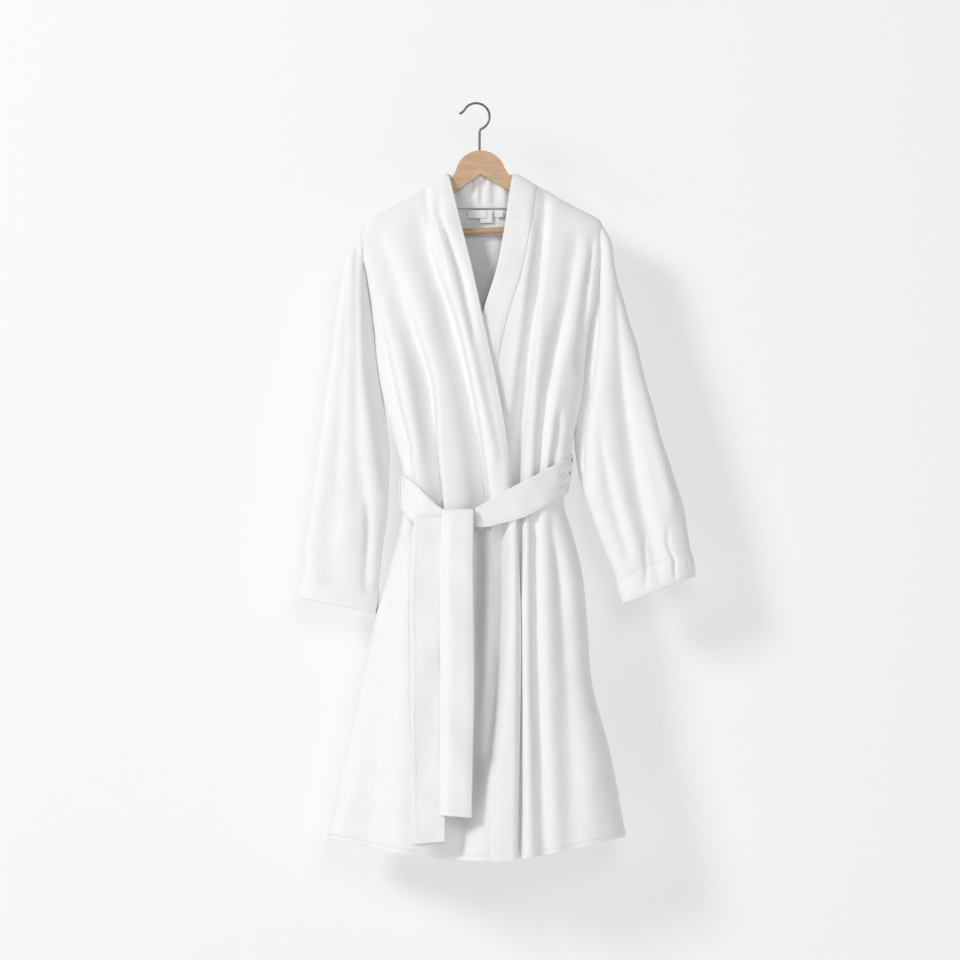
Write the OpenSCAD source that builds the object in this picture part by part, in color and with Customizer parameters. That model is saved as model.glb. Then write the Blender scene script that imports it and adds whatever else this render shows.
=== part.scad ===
// Kimono bathrobe on a wooden hanger.
// Millimetres, +Z up, front towards -Y. The origin is where a rail bears in the hook.
// Left and right are the wearer's: the right front is on the -X side and overlaps the left front.

/* [Hook and hanger] */
// Diameter of the hook wire
wire_d = 4; // [3:0.5:4.5]
// Radius of the hook's main bend, to the middle of the wire
hook_r = 23.5; // [22:0.5:26]
// Thickness of the wooden body
wood_t = 12; // [10:1:12]
// Tip to tip width of the wooden body
wood_w = 366; // [364:2:376]
// Tilt of the wooden body, wearer's left side up
hanger_tilt = 2.5; // [0:0.5:3]
// Diameter of the trouser bar
bar_d = 11; // [9:0.5:12]

/* [Cloth] */
// Thickness of one terry layer
cloth_t = 4; // [3:0.5:4]
// Clearance between neighbouring layers
layer_gap = 3; // [2.5:0.5:3]
// Width of the front bands
band_w = 42; // [38:1:44]
// Squareness of the body's cross-section, 2 is an ellipse
section_power = 2.5; // [2.2:0.1:2.8]

/* [Belt] */
// Width of the belt
belt_w = 55; // [45:1:58]
// Thickness of the belt, two layers
belt_t = 4; // [3:0.5:4.5]

/* [Hidden] */
$fn = 48;

white = [0.95, 0.95, 0.94];
beech = [0.80, 0.65, 0.49];
steel = [0.35, 0.35, 0.36];

// Levels of the body: height, wearer's right edge, wearer's left edge, front depth, back depth
BODY = [[-124, -56, 60, 17, 17], [-150, -101, 113, 21, 20], [-179, -151, 166, 25, 23],
  [-206, -197, 210, 29, 26], [-226, -203, 211, 31, 27], [-300, -196, 208, 39, 32],
  [-377, -185, 193, 47, 36], [-447, -178, 184, 53, 39], [-570, -151, 165, 59, 43],
  [-648, -132, 151, 61, 45], [-692, -131, 146, 62, 46], [-745, -139, 160, 65, 48],
  [-815, -158, 178, 70, 53], [-900, -176, 186, 76, 58], [-1007, -206, 194, 83, 63],
  [-1130, -231, 224, 90, 69], [-1290, -265, 255, 98, 76]];
top_z = -124;
shoulder_z = -150;
hem_z = -1290;
// How far the hem hangs below hem_z, against x
HEM_DROP = [[-265, -6], [-140, 20], [62, 30], [140, 18], [255, -10]];

// Free edge of each front against height
RIGHT_EDGE = [[-1330, 65], [-745, 65], [-622, 53], [-517, 36], [-386, 8], [-272, -17],
  [-206, -34], [-124, -54]];
LEFT_EDGE = [[-1330, -62], [-700, -62], [-622, -60], [-517, -30], [-342, 13], [-290, 30],
  [-237, 41], [-124, 58]];
underarm_z = -400;
seam_gap = 0.6;
belt_gap = 2.5;
armhole_gap = 16;
flap_top = -748;
flap_gap = 3;
FLAP_HINGE = [[-1330, -12], [-740, 66]];

// Middle height of the belt against the angle round the body
BELT_Z = [[0, -648], [74, -693], [90, -717], [110, -733], [135, -714], [180, -686],
  [270, -662], [360, -648]];

// Stations down each sleeve: lower-x edge x and z, higher-x edge x and z, half depth
RIGHT_SLEEVE = [[-216, -226, -210, -226, 10], [-236, -280, -203, -290, 20],
  [-249, -365, -197, -380, 28], [-262, -460, -191, -480, 32], [-277, -570, -181, -590, 34],
  [-290, -670, -170, -690, 34], [-301, -760, -173, -784, 33], [-307, -820, -180, -846, 32]];
RIGHT_CUFF = [[-307.3, -822, -180.2, -848, 32], [-312, -862, -183, -888, 31]];
LEFT_SLEEVE = [[218, -226, 224, -226, 10], [216, -300, 238, -292, 20],
  [212, -390, 262, -380, 28], [206, -480, 284, -468, 32], [192, -575, 308, -560, 34],
  [184, -650, 336, -640, 34], [204, -725, 356, -705, 33], [242, -829, 368, -783, 32]];
LEFT_CUFF = [[242.8, -831, 368.2, -785, 32], [251, -872, 374, -824, 31]];

hub_top = -80.5;
hub_r = 44;
bar_z = -221;
arm_slope = 27.5;
lobe_r = 11;
lobe_x = wood_w / 2 - lobe_r;
lobe_z = bar_z + 4;
tenon_d = 7;
tenon_l = 10;
bore_gap = 0.05;
nut_z = -112;
notch_z = -122;

function mix(a, b, s) = a + (b - a) * s;
function signed_pow(v, p) = sign(v) * pow(abs(v), p);
function column(table, i) = [for (row = [len(table) - 1:-1:0]) [table[row][0], table[row][i]]];
EDGE_LOW = column(BODY, 1);
EDGE_HIGH = column(BODY, 2);
DEPTH_FRONT = column(BODY, 3);
DEPTH_BACK = column(BODY, 4);

// A point on a squarish loop: angle 0 is +X, 90 the front, 180 -X, 270 the back
function loop_point(low, high, front, back, angle, z, inset) =
  let (half = (high - low) / 2 - inset, depth = (sin(angle) > 0 ? front : back) - inset,
       power = 2 / section_power)
  [(low + high) / 2 + half * signed_pow(cos(angle), power),
   -depth * signed_pow(sin(angle), power), z];

function body_point(z, angle, inset, drop = 0) =
  let (p = loop_point(lookup(z, EDGE_LOW), lookup(z, EDGE_HIGH), lookup(z, DEPTH_FRONT),
         lookup(z, DEPTH_BACK), angle, z, inset))
  [p.x, p.y, z - lookup(p.x, HEM_DROP) * drop];

// The angle on the front at which the body's loop passes x
function front_angle(x, z) =
  let (low = lookup(z, EDGE_LOW), high = lookup(z, EDGE_HIGH),
       u = max(-1, min(1, (2 * x - low - high) / (high - low))))
  acos(signed_pow(u, section_power / 2));

// Angles of each front band's seam, held inside the shoulder near the neck
function right_seam(z) = min(180 - side_gap(z), front_angle(lookup(z, RIGHT_EDGE) - band_w, z));
function left_seam(z) = max(side_gap(z), front_angle(lookup(z, LEFT_EDGE) + band_w, z));

function side_gap(z) = lookup(z, [[underarm_z - 8, seam_gap], [underarm_z, armhole_gap],
  [-232, armhole_gap], [-215, seam_gap]]);

// The left front lies one layer inside the right front where they overlap
function under_layer(x, z) = lookup(x, [[68, cloth_t + layer_gap], [112, 0]])
  * lookup(z, [[-372, 1], [-300, 0]]);

// A closed solid between two grids of points: rows run down, columns by growing angle
module skin(outer, inner) {
  rows = len(outer);
  cols = len(outer[0]);
  function at(side, r, c) = side * rows * cols + r * cols + c;
  function quad(a, b, c, d) = [[a, b, c], [a, c, d]];
  polyhedron(
    points = concat([for (row = outer) each row], [for (row = inner) each row]),
    faces = [
      for (r = [0:rows - 2], c = [0:cols - 2]) each concat(
        quad(at(0, r, c), at(0, r, c + 1), at(0, r + 1, c + 1), at(0, r + 1, c)),
        quad(at(1, r, c), at(1, r + 1, c), at(1, r + 1, c + 1), at(1, r, c + 1))),
      for (r = [0:rows - 2]) each concat(
        quad(at(0, r, 0), at(0, r + 1, 0), at(1, r + 1, 0), at(1, r, 0)),
        quad(at(0, r + 1, cols - 1), at(0, r, cols - 1), at(1, r, cols - 1),
             at(1, r + 1, cols - 1))),
      for (c = [0:cols - 2]) each concat(
        quad(at(0, 0, c + 1), at(0, 0, c), at(1, 0, c), at(1, 0, c + 1)),
        quad(at(0, rows - 1, c), at(0, rows - 1, c + 1), at(1, rows - 1, c + 1),
             at(1, rows - 1, c)))],
    convexity = 12);
}

// A patch of the body between two angles that may change with height
module body_patch(z0, z1, from, to, rows, cols, layer = function(x, z) 0, t = cloth_t) {
  function patch(extra) = [for (r = [0:rows]) let (z = mix(z0, z1, r / rows)) [
    for (c = [0:cols]) let (angle = mix(from(z), to(z), c / cols),
        base = body_point(z, angle, 0),
        drop = pow(max(0, (z - top_z) / (hem_z - top_z)), 2))
      body_point(z, angle, layer(base.x, z) + extra, drop)]];
  skin(patch(0), patch(t));
}

// A tube section down a sleeve, open towards the body above the underarm
module sleeve_tube(stations, first, last, rows, slit_angle) {
  count = len(stations) - 1;
  function station(s) = let (i = min(count - 1, floor(s * count)), f = s * count - i)
    mix(stations[i], stations[i + 1], f);
  function opening(z) = lookup(z, [[underarm_z - 20, 1.2], [underarm_z, 42]]);
  function ring(s, extra) = let (st = station(s), gap = opening((st[1] + st[3]) / 2))
    [for (c = [0:20]) let (
        angle = slit_angle + mix(gap, 360 - gap, c / 20),
        p = loop_point(st[0], st[2], st[4], st[4], angle, 0, extra),
        along = (p.x - st[0]) / (st[2] - st[0]))
      [p.x, p.y, mix(st[1], st[3], along)]];
  skin([for (r = [0:rows]) ring(mix(first, last, r / rows), 0)],
       [for (r = [0:rows]) ring(mix(first, last, r / rows), cloth_t)]);
}

module wire_arc(x, z, r, from, to) {
  translate([x, 0, z]) rotate([90, 0, 0]) rotate([0, 0, from])
    rotate_extrude(angle = to - from) translate([r, 0]) circle(d = wire_d);
}

module hook() color(steel) {
  cx = -6;
  cz = -sqrt(pow(hook_r - wire_d / 2, 2) - cx * cx);
  low = -65;
  tip = 150;
  tip_turn = 40;
  bend_r = 6.8;
  tip_r = 14;
  low_end = [cx, cz] + hook_r * [cos(low), sin(low)];
  stem_top = low_end.y + bend_r * sin(low);
  tip_c = [cx, cz] + (hook_r + tip_r) * [cos(tip), sin(tip)];
  tip_end = tip_c + tip_r * [cos(tip + 180 - tip_turn), sin(tip + 180 - tip_turn)];
  wire_arc(cx, cz, hook_r, low, tip);
  wire_arc(bend_r, stem_top, bend_r, 180 + low, 180);
  wire_arc(tip_c.x, tip_c.y, tip_r, tip + 180 - tip_turn, tip + 180);
  translate([tip_end.x, 0, tip_end.y]) sphere(d = wire_d + 0.4);
  translate([0, 0, nut_z - 6]) cylinder(d = wire_d, h = stem_top - nut_z + 6);
}

module hook_nut() color(steel) translate([0, 0, nut_z - 4]) difference() {
  cylinder(d = 8, h = 3.2, $fn = 6);
  translate([0, 0, -1]) cylinder(d = wire_d, h = 6);
}

// Half of the wooden body's front view, from the notch round the lobe and over the hub
function half_outline() = [
  [0, notch_z],
  for (a = [-90 - arm_slope : 15 : 90 - arm_slope])
    [lobe_x + lobe_r * cos(a), lobe_z + lobe_r * sin(a)],
  [58, -137.5],
  for (a = [14 : 4 : 90]) [hub_r * cos(a), hub_top - hub_r + hub_r * sin(a)]];

module wood_outline() {
  half = half_outline();
  polygon(concat(half, [for (i = [len(half) - 1 : -1 : 1]) [-half[i].x, half[i].y]]));
}

module tilted() {
  translate([0, 0, hub_top]) rotate([0, -hanger_tilt, 0]) translate([0, 0, -hub_top]) children();
}

module hanger_body() color(beech) difference() {
  tilted() translate([0, wood_t / 2, 0]) rotate([90, 0, 0]) linear_extrude(wood_t) wood_outline();
  translate([0, 0, -130]) cylinder(d = wire_d + 2 * bore_gap, h = 60);
  translate([0, 0, -140]) cylinder(d = 9.5, h = nut_z + 140 - 0.4);
  tilted() {
    for (side = [-1, 1])
      translate([side * (lobe_x - tenon_l), 0, bar_z]) rotate([0, side * 90, 0]) {
        translate([0, 0, -2 * lobe_r]) cylinder(d = bar_d + 0.4, h = 2 * lobe_r);
        translate([0, 0, -1]) cylinder(d = tenon_d + 2 * bore_gap, h = tenon_l + 1.5);
      }
    for (side = [-1, 1]) pin_at(side) cylinder(d = 1.6 + 2 * bore_gap, h = wood_t);
  }
}

module pin_at(side) {
  translate([side * (lobe_x - 5), wood_t / 2 + 0.5, bar_z]) rotate([90, 0, 0]) children();
}

module trouser_bar() color(beech) tilted() difference() {
  rotate([0, 90, 0]) translate([-bar_z, 0, 0]) {
    cylinder(d = bar_d, h = 2 * (lobe_x - tenon_l) - 1, center = true);
    cylinder(d = tenon_d, h = 2 * lobe_x, center = true);
  }
  for (side = [-1, 1]) pin_at(side) cylinder(d = 1.6 + 2 * bore_gap, h = wood_t);
}

module bar_pins() color(steel) tilted() for (side = [-1, 1]) pin_at(side) {
  translate([0, 0, 0.5]) cylinder(d = 1.6, h = wood_t - 2);
}

module back_panel() color(white)
  body_patch(top_z, hem_z, function(z) 180 + side_gap(z), function(z) 360 - side_gap(z), 26, 18);

module right_front() color(white)
  body_patch(shoulder_z, hem_z, function(z) front_angle(right_front_edge(z), z),
    function(z) 180 - side_gap(z), 26, 12);

function right_front_edge(z) =
  min(lookup(z, RIGHT_EDGE) - band_w - 0.6, z < flap_top ? lookup(z, FLAP_HINGE) - flap_gap : 99);

module left_front() color(white)
  body_patch(shoulder_z, hem_z, function(z) side_gap(z),
    function(z) front_angle(lookup(z, LEFT_EDGE) + band_w + 0.6, z), 26, 14,
    function(x, z) under_layer(x, z));

module neck_band() color(white)
  body_patch(top_z + 3, -178, function(z) 250, function(z) 290, 4, 8,
    function(x, z) cloth_t + 0.6);

module right_collar_band() color(white)
  body_patch(top_z - 4, flap_top + 3, function(z) front_angle(lookup(z, RIGHT_EDGE), z),
    function(z) right_seam(z), 16, 3);

module left_collar_band() color(white)
  body_patch(top_z - 4, flap_top + 3, function(z) left_seam(z),
    function(z) front_angle(lookup(z, LEFT_EDGE), z), 16, 3,
    function(x, z) under_layer(x, z));

// The stitched band left of the fold line, above the loose corner
module right_lower_band() color(white)
  body_patch(flap_top, flap_top - 260,
    function(z) front_angle(lookup(z, FLAP_HINGE) - flap_gap, z),
    function(z) front_angle(lookup(z, RIGHT_EDGE) - band_w, z), 6, 2);

module left_lower_band() color(white)
  body_patch(flap_top, hem_z, function(z) front_angle(lookup(z, LEFT_EDGE) + band_w, z),
    function(z) front_angle(lookup(z, LEFT_EDGE), z), 10, 3,
    function(x, z) under_layer(x, z));

module flap_band() color(white)
  body_patch(flap_top - 24, hem_z, function(z) front_angle(lookup(z, RIGHT_EDGE), z),
    function(z) front_angle(max(lookup(z, RIGHT_EDGE) - band_w, lookup(z, FLAP_HINGE) + flap_gap),
      z), 12, 3);

module flap_cloth() color(white)
  body_patch(-1125, hem_z, function(z) front_angle(lookup(z, RIGHT_EDGE) - band_w - 0.6, z),
    function(z) front_angle(lookup(z, FLAP_HINGE) + flap_gap, z), 6, 2);

module right_sleeve() color(white) sleeve_tube(RIGHT_SLEEVE, 0, 1, 16, 0);

module right_cuff() color(white) sleeve_tube(RIGHT_CUFF, 0, 1, 2, 0);

module left_sleeve() color(white) sleeve_tube(LEFT_SLEEVE, 0, 1, 16, 180);

module left_cuff() color(white) sleeve_tube(LEFT_CUFF, 0, 1, 2, 180);

// Flat bag hanging inside the side seam
module pocket_bag(from, to) color(white)
  body_patch(-770, -950, function(z) from, function(z) to, 5, 4,
    function(x, z) cloth_t + layer_gap / 2, 2);

module right_pocket() pocket_bag(132, 168);

module left_pocket() pocket_bag(12, 46);

module belt_wrap() {
  function ring(extra) = [for (r = [-1:1]) [for (c = [0:44]) let (
      angle = 104 + 358 * c / 44, z = lookup(angle % 360, BELT_Z) - r * belt_w / 2)
    body_point(z, angle, -extra)]];
  color(white) skin(ring(belt_gap + belt_t), ring(belt_gap));
}

knot_at = body_point(-727, front_angle(-38, -727), 0);

// Rounded bar of doubled cloth that holds both tails
module belt_knot() color(white)
  translate([-38, knot_at.y - belt_gap - belt_t - 9.5, -724]) hull() for (x = [-22, 22], z = [-11, 11])
    translate([x, 0, z]) sphere(r = 8, $fn = 24);

// A belt tail hangs as a flat strip in its own layer in front of the skirt
module belt_tail(x, top, bottom, layer) {
  function face(extra) = [for (r = [0:6]) let (z = mix(top, bottom, r / 6)) [
    for (c = [0:2]) [x + belt_w * (0.5 - c / 2), tail_y(z) - layer - extra, z]]];
  color(white) skin(face(belt_t), face(0));
}

function tail_y(z) = lookup(z, [[-1330, -101.5], [-740, -66.5]]);

module belt_tail_front() belt_tail(-40, -762, -1238, 10);

module belt_tail_rear() belt_tail(-84, -762, -1287, 3);

// Narrow loop over the belt at a side seam
module belt_loop(angle, lean, gap) color(white) {
  foot = body_point(lookup(angle, BELT_Z), angle, 0);
  side = sign(foot.x);
  proud = belt_t + 4.5;
  tall = belt_w + 16;
  translate([foot.x + side * gap, 0, foot.z]) rotate([0, lean, 0]) difference() {
    translate([side > 0 ? 0 : -proud, -4, -tall / 2]) cube([proud, 8, tall]);
    translate([side > 0 ? -1 : 1.6 - proud, -5, 3 - tall / 2]) cube([proud - 0.6, 10, tall - 6]);
  }
}

module right_belt_loop() belt_loop(180, 2.7, 4.9);

module left_belt_loop() belt_loop(0, 8.8, 3.7);

loop_w = 60;
loop_h = 24;
tape_w = 6;
loop_z = -176;
loop_y = 27;

// Tape loop on the outside of the back neck
module hanging_loop() color(white) translate([0, loop_y, loop_z]) rotate([90, 0, 0])
  linear_extrude(1.6) difference() {
    translate([-loop_w / 2, -loop_h]) round_foot(loop_w, loop_h, 14);
    translate([-loop_w / 2 + tape_w, -loop_h + tape_w])
      round_foot(loop_w - 2 * tape_w, loop_h, 14 - tape_w);
  }

// A rectangle with its two lower corners rounded
module round_foot(w, h, r) {
  translate([0, r]) square([w, h - r]);
  translate([r, 0]) square([w - 2 * r, r]);
  for (x = [r, w - r]) translate([x, r]) circle(r = r);
}

label_z = -183;
label_y = 17;

module tag(x0, x1, h, y) color(white)
  translate([x0, y, label_z - h]) cube([x1 - x0, 0.8, h]);

module main_label() tag(-20, 12, 14, label_y - 2.4);

module care_label() tag(1, 22, 22, label_y - 1.2);

module size_tag() tag(27, 41, 12, label_y - 2.4);

hook();
hook_nut();
hanger_body();
trouser_bar();
bar_pins();
back_panel();
right_front();
left_front();
neck_band();
right_collar_band();
left_collar_band();
right_lower_band();
left_lower_band();
flap_cloth();
flap_band();
right_sleeve();
right_cuff();
left_sleeve();
left_cuff();
right_pocket();
left_pocket();
belt_wrap();
belt_knot();
belt_tail_front();
belt_tail_rear();
right_belt_loop();
left_belt_loop();
hanging_loop();
main_label();
care_label();
size_tag();
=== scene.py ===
"""Looks of a white kimono bathrobe on a wooden hanger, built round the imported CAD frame.

Lengths in the tables are millimetres in the CAD frame: +Z up, the robe's front towards -Y, origin
where the rail bears in the hook. "Right" and "left" are the wearer's, so right is on the -X side.
"""
import math

import bmesh
import bpy
import numpy as np
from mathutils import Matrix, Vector


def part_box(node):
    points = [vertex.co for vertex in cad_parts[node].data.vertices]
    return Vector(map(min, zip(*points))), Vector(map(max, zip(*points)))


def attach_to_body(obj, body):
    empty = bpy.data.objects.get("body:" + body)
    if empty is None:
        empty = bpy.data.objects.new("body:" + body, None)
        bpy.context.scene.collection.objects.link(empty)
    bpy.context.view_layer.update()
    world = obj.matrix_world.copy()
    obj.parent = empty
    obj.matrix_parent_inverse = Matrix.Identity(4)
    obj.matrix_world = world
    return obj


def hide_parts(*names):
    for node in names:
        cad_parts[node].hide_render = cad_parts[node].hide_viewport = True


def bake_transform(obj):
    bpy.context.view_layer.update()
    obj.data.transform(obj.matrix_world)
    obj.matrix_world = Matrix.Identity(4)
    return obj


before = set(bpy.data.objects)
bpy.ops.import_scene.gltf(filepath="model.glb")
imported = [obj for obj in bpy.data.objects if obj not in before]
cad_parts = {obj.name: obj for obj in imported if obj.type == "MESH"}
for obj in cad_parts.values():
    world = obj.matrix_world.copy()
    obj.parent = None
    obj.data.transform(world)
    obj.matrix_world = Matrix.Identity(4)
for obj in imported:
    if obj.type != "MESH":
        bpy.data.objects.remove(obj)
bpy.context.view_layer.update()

MM = 0.001
SECTION_POWER = 2.9

# Levels of the body: height, low-x edge, high-x edge, front depth, back depth
BODY = np.array([
    (-120, -54, 58, 17, 17), (-150, -101, 113, 21, 20), (-179, -150, 164, 25, 23),
    (-204, -193, 210, 29, 26), (-226, -207, 214, 31, 27), (-300, -196, 208, 39, 32),
    (-342, -189, 203, 43, 34), (-377, -184, 194, 47, 36), (-447, -178, 184, 53, 39),
    (-517, -166, 177, 57, 41), (-570, -151, 165, 59, 43), (-648, -132, 151, 61, 45),
    (-692, -131, 146, 62, 46), (-745, -140, 161, 65, 48), (-815, -160, 178, 70, 53),
    (-900, -183, 187, 76, 58), (-1007, -206, 195, 83, 63), (-1130, -231, 226, 90, 69),
    (-1290, -265, 255, 98, 76)], float)
TOP_Z, HEM_Z = -122.0, -1290.0
HEM_DROP = [(-265, -6), (-140, 20), (62, 30), (140, 18), (255, -10)]

RIGHT_EDGE = [(-124, -54), (-206, -34), (-272, -17), (-386, 8), (-517, 36), (-622, 53),
              (-745, 65), (-1330, 65)]
LEFT_EDGE = [(-124, 58), (-237, 41), (-290, 30), (-342, 13), (-517, -30), (-622, -60),
             (-700, -62), (-1330, -62)]
BAND_W = 42.0
CLOTH_T = 3.0
STITCH_PITCH = 28.4
BAND_SEAMS = (0.12, 0.9)
FRONT_SEED, BACK_SEED = 3, 11
VIEW_DISTANCE, VIEW_Z = 4500.0, -657.0
FORWARD = np.array([0, -1.0, 0])


# ---------------------------------------------------------------- curves and surfaces

def smooth_curve(table, t):
    """Smooth interpolation through the (position, value) rows of a table."""
    rows = np.array(sorted(table), float)
    x, y = rows[:, 0], rows[:, 1]
    slope = np.gradient(y, x)
    t = np.clip(np.asarray(t, float), x[0], x[-1])
    i = np.clip(np.searchsorted(x, t) - 1, 0, len(x) - 2)
    span = x[i + 1] - x[i]
    s = (t - x[i]) / span
    return ((2 * s**3 - 3 * s**2 + 1) * y[i] + (s**3 - 2 * s**2 + s) * span * slope[i]
            + (3 * s**2 - 2 * s**3) * y[i + 1] + (s**3 - s**2) * span * slope[i + 1])


def signed_pow(v, p):
    return np.sign(v) * np.abs(v) ** p


def mix(a, b, s):
    return a + (b - a) * s


def smoothstep(low, high, v):
    s = np.clip((v - low) / (high - low), 0, 1)
    return s * s * (3 - 2 * s)


def level(column, z):
    return smooth_curve([(row[0], row[column]) for row in BODY], z)


def hem_drop(x, z):
    s = np.clip((z - TOP_Z) / (HEM_Z - TOP_Z), 0, 1)
    return smooth_curve(HEM_DROP, x) * s**2


# ---------------------------------------------------------------- folds

class Fold:
    """A valley along a path down the cloth; negative depth is a ridge.

    Rows are height, x, depth, width on the low-x side, width on the high-x side."""

    def __init__(self, *rows):
        self.rows = sorted(rows)

    def depth_at(self, x, z):
        def column(i):
            return smooth_curve([(r[0], r[i]) for r in self.rows], z)
        d = x - column(1)
        low, high = self.rows[0][0], self.rows[-1][0]
        fade = smoothstep(low - 45, low + 5, z) * (1 - smoothstep(high - 5, high + 45, z))
        width = np.where(d < 0, column(3), column(4))
        return fade * column(2) * np.exp(-(d / np.maximum(width, 1)) ** 2)


def fold_depth(folds, x, z):
    return sum((f.depth_at(x, z) for f in folds), np.zeros_like(x))


RIGHT_FRONT_FOLDS = [
    Fold((-240, -176, 6, 26, 18), (-330, -140, 13, 30, 14), (-400, -116, 22, 30, 12),
         (-466, -94, 30, 28, 10), (-608, -79, 38, 24, 6), (-712, -67, 38, 20, 5)),
    Fold((-225, -62, -4, 16, 12), (-400, -24, -7, 16, 10), (-600, 24, -5, 12, 8)),
    Fold((-400, -142, -7, 22, 16), (-600, -104, -7, 14, 10)),
    Fold((-200, -104, 5, 18, 9), (-246, -92, 14, 24, 9), (-310, -70, 26, 26, 9),
         (-377, -46, 34, 26, 8), (-480, -20, 38, 26, 7), (-584, -1, 42, 26, 6),
         (-700, 14, 44, 24, 6)),
    Fold((-190, -70, 5, 8, 7), (-240, -52, 8, 9, 7), (-300, -32, 8, 10, 8), (-390, -12, 5, 9, 9)),
    Fold((-159, -94, 4, 6, 6), (-230, -86, 4, 7, 6)),
    Fold((-360, -178, 5, 14, 10), (-470, -160, 12, 18, 12), (-600, -128, 12, 10, 9)),
    Fold((-590, -143, 6, 6, 5), (-645, -119, 7, 7, 5)),
    Fold((-722, -118, 14, 7, 5), (-777, -129, 11, 8, 6), (-830, -140, 5, 12, 10)),
    Fold((-735, -86, 5, 10, 10), (-800, -90, 7, 12, 10), (-887, -97, 6, 14, 12)),
    Fold((-850, -168, 5, 28, 24), (-1000, -180, 13, 34, 30), (-1217, -194, 18, 38, 34),
         (-1330, -200, 20, 40, 34)),
    Fold((-900, -128, -4, 24, 24), (-1330, -138, -10, 30, 30)),
    Fold((-735, -8, 52, 30, 19), (-900, -10, 56, 30, 20), (-1060, -14, 56, 34, 24),
         (-1180, -20, 54, 36, 22), (-1250, -34, 46, 34, 20), (-1330, -44, 30, 30, 26)),
    Fold((-735, 36, 40, 15, 14), (-870, 34, 40, 15, 14), (-1000, 28, 34, 15, 13),
         (-1110, 18, 20, 14, 12)),
]
LEFT_FRONT_FOLDS = [
    Fold((-150, 118, 6, 14, 6), (-239, 113, 14, 18, 6), (-325, 102, 19, 18, 6),
         (-447, 88, 22, 18, 7), (-552, 75, 22, 15, 8), (-657, 66, 18, 12, 9)),
    Fold((-230, 92, -5, 10, 9), (-500, 60, -5, 10, 9)),
    Fold((-250, 168, 6, 18, 12), (-374, 148, 12, 18, 10), (-433, 136, 15, 18, 9),
         (-514, 119, 17, 14, 9), (-640, 106, 15, 10, 8)),
    Fold((-262, 198, 5, 8, 5), (-345, 188, 8, 9, 6), (-440, 178, 9, 10, 7)),
    Fold((-560, 140, 8, 9, 8), (-650, 128, 10, 9, 7)),
    Fold((-722, 98, 13, 10, 9), (-850, 99, 15, 11, 10), (-1042, 104, 16, 13, 12),
         (-1180, 110, 14, 14, 14), (-1330, 116, 10, 16, 16)),
    Fold((-735, 128, 3, 8, 8), (-800, 140, 9, 12, 10), (-930, 150, 10, 18, 14),
         (-1330, 168, 10, 26, 26)),
    Fold((-740, 84, -5, 8, 8), (-1330, 86, -6, 10, 10)),
    Fold((-740, 72, 14, 6, 5), (-900, 71, 10, 5, 4), (-1100, 72, 13, 6, 5), (-1300, 70, 10, 5, 4)),
]
BACK_FOLDS = [
    Fold((-225, 15, 5, 60, 60), (-330, 15, 15, 60, 60), (-600, 12, 13, 50, 50)),
    Fold((-210, -66, 5, 26, 14), (-450, -54, 15, 26, 11), (-640, -40, 18, 18, 8)),
    Fold((-240, 30, 4, 20, 20), (-480, 34, 9, 22, 16), (-640, 32, 14, 15, 11)),
    Fold((-230, 118, 5, 18, 24), (-500, 98, 16, 11, 20), (-640, 84, 18, 8, 14)),
    Fold((-260, -146, 5, 22, 16), (-520, -112, 15, 18, 10), (-650, -92, 16, 12, 8)),
    Fold((-700, -70, 18, 14, 10), (-900, -88, 20, 26, 20), (-1330, -118, 30, 42, 36)),
    Fold((-700, 8, 18, 12, 12), (-900, 4, 22, 26, 24), (-1330, -6, 32, 44, 38)),
    Fold((-700, 82, 18, 10, 13), (-900, 98, 20, 20, 26), (-1330, 122, 28, 34, 38)),
    Fold((-760, -150, 6, 16, 16), (-1330, -214, 14, 26, 20)),
    Fold((-760, 150, 6, 16, 16), (-1330, 206, 14, 22, 22)),
    Fold((-740, -30, -5, 16, 16), (-1330, -64, -10, 26, 26)),
    Fold((-740, 46, -5, 16, 16), (-1330, 58, -10, 26, 26)),
]


def unevenness(x, z, seed, size=1.0):
    """Slight waviness of hanging terry, a fixed sum of slanted ripples."""
    rng = np.random.default_rng(seed)
    total = np.zeros_like(x)
    for _ in range(26):
        wave = rng.uniform(28, 120)
        tilt = rng.normal(0, 0.5)
        phase = rng.uniform(0, 2 * math.pi)
        along = x * math.cos(tilt) + z * math.sin(tilt)
        total += np.sin(2 * math.pi * along / wave + phase) * wave / 120
    return total * 0.34 * size


# ---------------------------------------------------------------- meshes

def grid_normals(points):
    down = np.gradient(points, axis=0)
    across = np.gradient(points, axis=1)
    n = np.cross(down, across)
    return n / np.maximum(np.linalg.norm(n, axis=-1, keepdims=True), 1e-9)


def grid_quads(rows, cols, start, flip):
    r, c = np.meshgrid(np.arange(rows - 1), np.arange(cols - 1), indexing="ij")
    a = start + r * cols + c
    quads = np.stack([a, a + 1, a + cols + 1, a + cols], -1).reshape(-1, 4)
    return quads[:, ::-1] if flip else quads


def rim_indices(rows, cols):
    top = [(0, c) for c in range(cols)]
    right = [(r, cols - 1) for r in range(1, rows)]
    bottom = [(rows - 1, c) for c in range(cols - 2, -1, -1)]
    left = [(r, 0) for r in range(rows - 2, 0, -1)]
    return np.array(top + right + bottom + left)


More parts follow.
